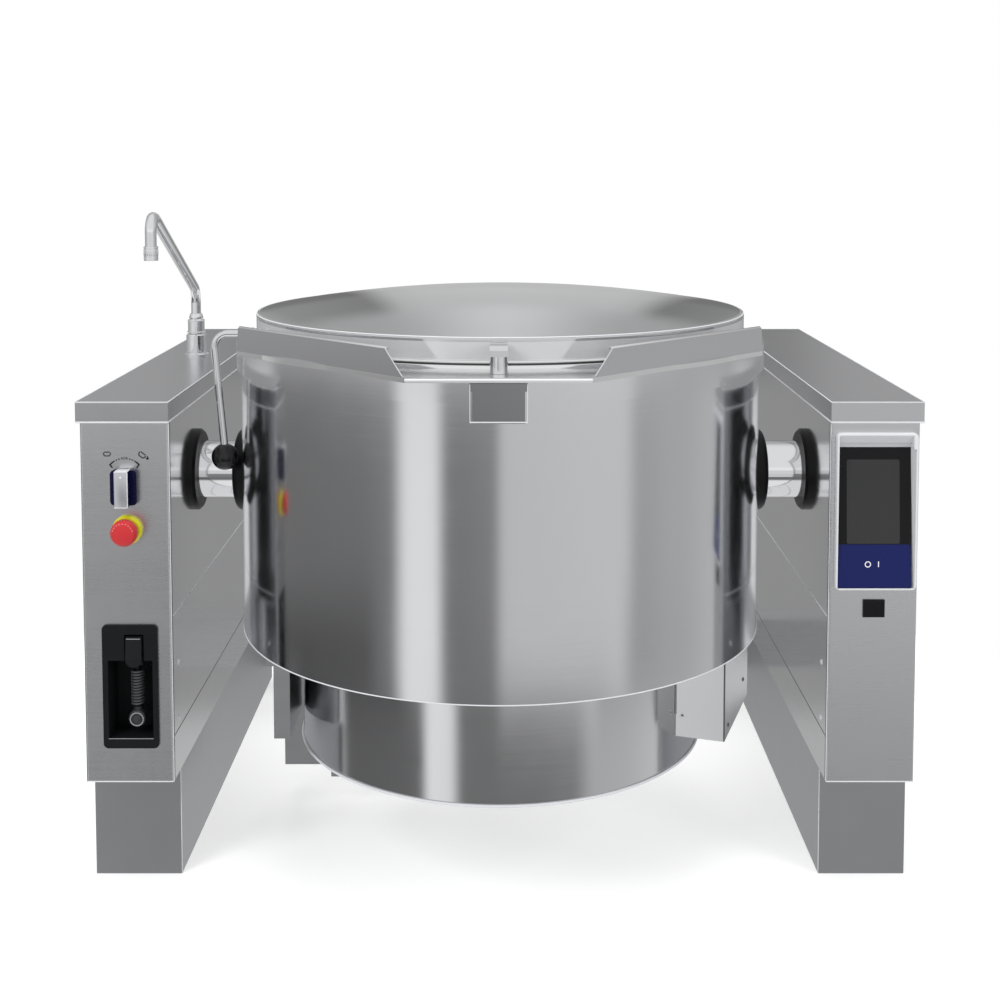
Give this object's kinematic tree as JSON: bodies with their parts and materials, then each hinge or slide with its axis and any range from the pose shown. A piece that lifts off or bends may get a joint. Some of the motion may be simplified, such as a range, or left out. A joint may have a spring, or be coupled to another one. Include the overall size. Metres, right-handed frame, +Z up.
{
  "type": "tilting boiling kettle",
  "caption": "Floor-standing jacketed boiling kettle that tilts on two trunnions between sheet metal consoles, with a hinged lid, pouring lip, swivel tap and controls.",
  "frame": {"origin": "on the floor, in the middle of the whole footprint", "axes": "+X to the right seen from the front, +Y to the rear, +Z up; the tilting axis runs along X"},
  "size_m": [1.524, 1.463, 1.2357],
  "materials": {
    "panel_steel": "satin, brushed along the panel",
    "plinth_steel": "satin",
    "frame_steel": "satin tube",
    "vessel_steel": "fine satin",
    "bowl_steel": "polished",
    "jacket_steel": "mill finish",
    "lid_steel": "satin, brushed in circles",
    "trunnion_steel": "turned",
    "screw_steel": "bright",
    "handle_steel": "polished",
    "heater_steel": "oxidised",
    "bearing_iron": "cast, painted grey",
    "gear_steel": "milled and oiled",
    "motor_paint": "semi-gloss paint",
    "seal_rubber": "matt black",
    "gasket_rubber": "matt grey",
    "ball_plastic": "gloss black",
    "tap_chrome": "polished chrome",
    "knob_plastic": "satin navy",
    "collar_plastic": "gloss yellow",
    "button_plastic": "gloss red",
    "recess_plastic": "satin black",
    "neck_steel": "dark spring wire",
    "nozzle_plastic": "satin black",
    "lever_plastic": "satin black",
    "bezel_plastic": "satin silver grey",
    "screen_glass": "gloss black glass",
    "port_plastic": "satin black"
  },
  "bodies": {
    "stand": {"left_plinth": "plinth_steel", "right_plinth": "plinth_steel", "left_frame": "frame_steel", "right_frame": "frame_steel", "rear_cross_beam": "plinth_steel", "left_front_panel": "panel_steel", "right_front_panel": "panel_steel", "left_upper_wall": "panel_steel", "right_upper_wall": "panel_steel", "left_lower_wall": "panel_steel", "right_lower_wall": "panel_steel", "left_side_panel": "panel_steel", "right_side_panel": "panel_steel", "rear_panels": "panel_steel", "left_cap": "panel_steel", "right_cap": "panel_steel", "trunnion_bearings": "bearing_iron", "wall_seals": "seal_rubber", "gear_motor": "motor_paint", "tap_base": "tap_chrome", "stop_collar": "collar_plastic", "spray_recess": "recess_plastic", "control_bezel": "bezel_plastic", "control_screen": "screen_glass", "wall_screws": "screw_steel"},
    "kettle": {"inner_vessel": "bowl_steel", "steam_jacket": "jacket_steel", "upper_shell": "vessel_steel", "lower_shell": "vessel_steel", "rim_band": "vessel_steel", "pouring_flange": "vessel_steel", "left_pour_guard": "vessel_steel", "right_pour_guard": "vessel_steel", "lip_bracket": "vessel_steel", "service_box": "vessel_steel", "service_screws": "screw_steel", "pipe_duct": "vessel_steel", "terminal_box": "vessel_steel", "left_trunnion": "trunnion_steel", "right_trunnion": "trunnion_steel", "shell_seals": "seal_rubber", "sector_gear": "gear_steel", "heating_elements": "heater_steel", "lid_hinge_bracket": "vessel_steel"},
    "lid": {"lid_shell": "lid_steel", "lid_liner": "lid_steel", "lid_gasket": "gasket_rubber", "lid_hinge_arms": "lid_steel", "lid_handle": "handle_steel", "handle_ball": "ball_plastic"},
    "lid_catch": {"lid_latch": "lid_steel"},
    "spout": {"tap_spout": "tap_chrome"},
    "selector": {"selector_knob": "knob_plastic"},
    "stop": {"stop_button": "button_plastic"},
    "spray_gun": {"spray_neck": "neck_steel", "spray_nozzle": "nozzle_plastic"},
    "lever": {"spray_lever": "lever_plastic"},
    "port_flap": {"port_cover": "port_plastic"},
    "pinion": {"drive_pinion": "gear_steel"}
  },
  "joints": [
    {"name": "kettle_tilt", "type": "hinge", "parent": "stand", "child": "kettle", "pos_m": [0, -0.1775, 0.731], "axis": [1, 0, 0], "range_deg": [0, 90]},
    {"name": "pinion_spin", "type": "hinge", "parent": "stand", "child": "pinion", "pos_m": [-0.698, 0.0025, 0.731], "axis": [1, 0, 0], "range_deg": [-360, 0]},
    {"name": "lid_open", "type": "hinge", "parent": "kettle", "child": "lid", "pos_m": [0, 0.3675, 1.022], "axis": [-1, 0, 0], "range_deg": [0, 85]},
    {"name": "latch_turn", "type": "hinge", "parent": "kettle", "child": "lid_catch", "pos_m": [0, -0.6825, 1.02], "axis": [0, 0, 1], "range_deg": [0, 90]},
    {"name": "spout_swing", "type": "hinge", "parent": "stand", "child": "spout", "pos_m": [-0.676, 0.2235, 1], "axis": [0, 0, -1], "range_deg": [-75, 20]},
    {"name": "selector_turn", "type": "hinge", "parent": "stand", "child": "selector", "pos_m": [-0.675, -0.3995, 0.746], "axis": [0, 1, 0], "range_deg": [-30, 30], "stiffness_Nm_per_rad": 0.3},
    {"name": "stop_press", "type": "slide", "parent": "stand", "child": "stop", "axis": [0, 1, 0], "range_m": [0, 0.006], "stiffness_N_per_m": 1000, "springref_m": -0.004},
    {"name": "spray_pull", "type": "slide", "parent": "stand", "child": "spray_gun", "axis": [0, -1, 0], "range_m": [0, 0.06]},
    {"name": "spray_lever_press", "type": "hinge", "parent": "spray_gun", "child": "lever", "pos_m": [-0.663, -0.3805, 0.465], "axis": [1, 0, 0], "range_deg": [0, 12], "stiffness_Nm_per_rad": 0.3, "springref_deg": -17.19},
    {"name": "port_cover_open", "type": "hinge", "parent": "stand", "child": "port_flap", "pos_m": [0.6765, -0.4018, 0.537], "axis": [-1, 0, 0], "range_deg": [0, 100]}
  ],
  "couplings": [
    {"joint": "pinion_spin", "follows": "kettle_tilt", "ratio": -4}
  ]
}
